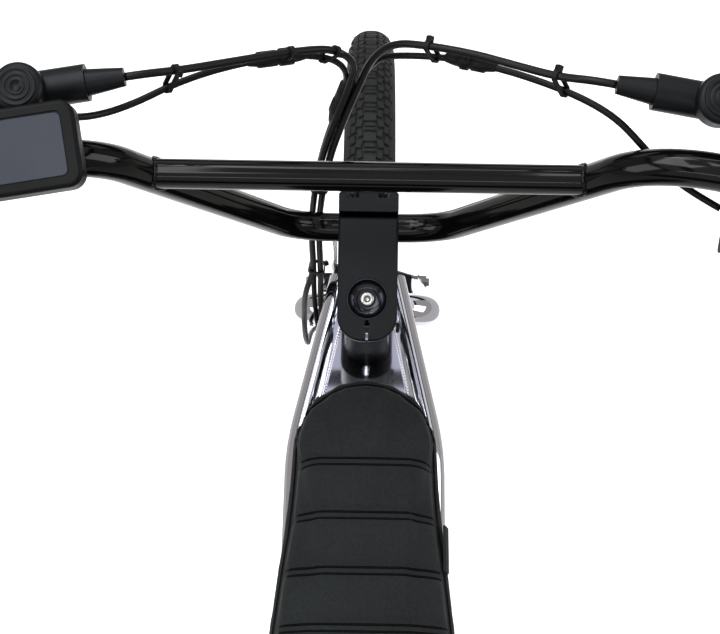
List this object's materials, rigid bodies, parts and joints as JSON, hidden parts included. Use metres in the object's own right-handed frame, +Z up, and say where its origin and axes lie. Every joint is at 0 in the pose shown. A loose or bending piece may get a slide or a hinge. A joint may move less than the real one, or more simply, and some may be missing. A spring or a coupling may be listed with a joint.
{
  "type": "electric bike",
  "caption": "Electric bike with chromed twin top tubes, high-rise crossbar handlebar, long tuck and roll bench seat, mid motor, disc brakes and a centre stand",
  "frame": {"origin": "on the ground, midway between the two wheels' contact points, in the bike's middle plane", "axes": "+X forward, +Y to the rider's left, +Z up"},
  "size_m": [1.696, 0.7514, 1.0984],
  "materials": {
    "chrome": "mirror chrome plate on steel",
    "black_gloss": "gloss black powder coat",
    "black_satin": "black anodised, fine blasted",
    "bright_steel": "zinc plated and machined steel",
    "rubber": "moulded rubber",
    "tyre": "block tread rubber",
    "black_plastic": "moulded glass-filled nylon",
    "screen": "black housing with a plain dark screen",
    "seat_fabric": "charcoal tuck and roll fabric",
    "alloy_black": "black anodised alloy"
  },
  "bodies": {
    "frame": {"head_tube": "chrome", "left_top_tube": "chrome", "right_top_tube": "chrome", "gusset_plate": "chrome", "down_tube": "chrome", "seat_tube": "chrome", "left_chain_stay": "chrome", "right_chain_stay": "chrome", "left_seat_stay": "chrome", "right_seat_stay": "chrome", "tail_bridge": "chrome", "motor": "black_satin", "battery_case": "black_satin", "seat_pan": "black_plastic", "seat_cushion": "seat_fabric", "rear_axle": "bright_steel", "rear_caliper": "black_satin", "chain": "bright_steel", "stand_bracket": "black_satin"},
    "steering": {"fork": "chrome", "headset_spacer": "black_satin", "stem": "black_satin", "stem_faceplate": "black_satin", "top_cap": "black_satin", "handlebar": "black_gloss", "left_grip": "rubber", "right_grip": "rubber", "left_brake_lever": "black_satin", "right_brake_lever": "black_satin", "left_lever_blade": "black_satin", "right_lever_blade": "black_satin", "display": "screen", "shifter": "black_plastic", "front_axle": "bright_steel", "front_caliper": "black_satin", "front_brake_hose": "black_plastic", "rear_brake_hose": "black_plastic", "display_wire": "black_plastic", "shift_cable": "black_plastic"},
    "front_wheel": {"front_tyre": "tyre", "front_rim": "alloy_black", "front_hub": "alloy_black", "front_rotor": "bright_steel"},
    "rear_wheel": {"rear_tyre": "tyre", "rear_rim": "alloy_black", "rear_hub": "alloy_black", "rear_rotor": "bright_steel", "rear_sprocket": "bright_steel"},
    "crankset": {"crankset": "alloy_black", "chainring": "alloy_black"},
    "left_pedal": {"left_pedal": "black_plastic"},
    "right_pedal": {"right_pedal": "black_plastic"},
    "centre_stand": {"centre_stand": "black_satin"}
  },
  "joints": [
    {"name": "steering", "type": "hinge", "parent": "frame", "child": "steering", "pos_m": [0.49916, 0, 0.28568], "axis": [-0.3535, 0, 0.9354], "range_deg": [-45, 45], "deforming": ["rear_brake_hose", "display_wire", "shift_cable"]},
    {"name": "front_wheel", "type": "hinge", "parent": "steering", "child": "front_wheel", "pos_m": [0.545, 0, 0.303], "axis": [0, 1, 0], "continuous": true},
    {"name": "rear_wheel", "type": "hinge", "parent": "frame", "child": "rear_wheel", "pos_m": [-0.545, 0, 0.303], "axis": [0, 1, 0], "continuous": true},
    {"name": "cranks", "type": "hinge", "parent": "frame", "child": "crankset", "pos_m": [-0.06, 0, 0.295], "axis": [0, 1, 0], "continuous": true},
    {"name": "left_pedal", "type": "hinge", "parent": "crankset", "child": "left_pedal", "pos_m": [-0.06, 0.126, 0.46], "axis": [0, 1, 0], "continuous": true},
    {"name": "right_pedal", "type": "hinge", "parent": "crankset", "child": "right_pedal", "pos_m": [-0.06, -0.126, 0.13], "axis": [0, 1, 0], "continuous": true},
    {"name": "stand", "type": "hinge", "parent": "frame", "child": "centre_stand", "pos_m": [-0.2, 0, 0.185], "axis": [0, 1, 0], "range_deg": [0, 78]}
  ]
}
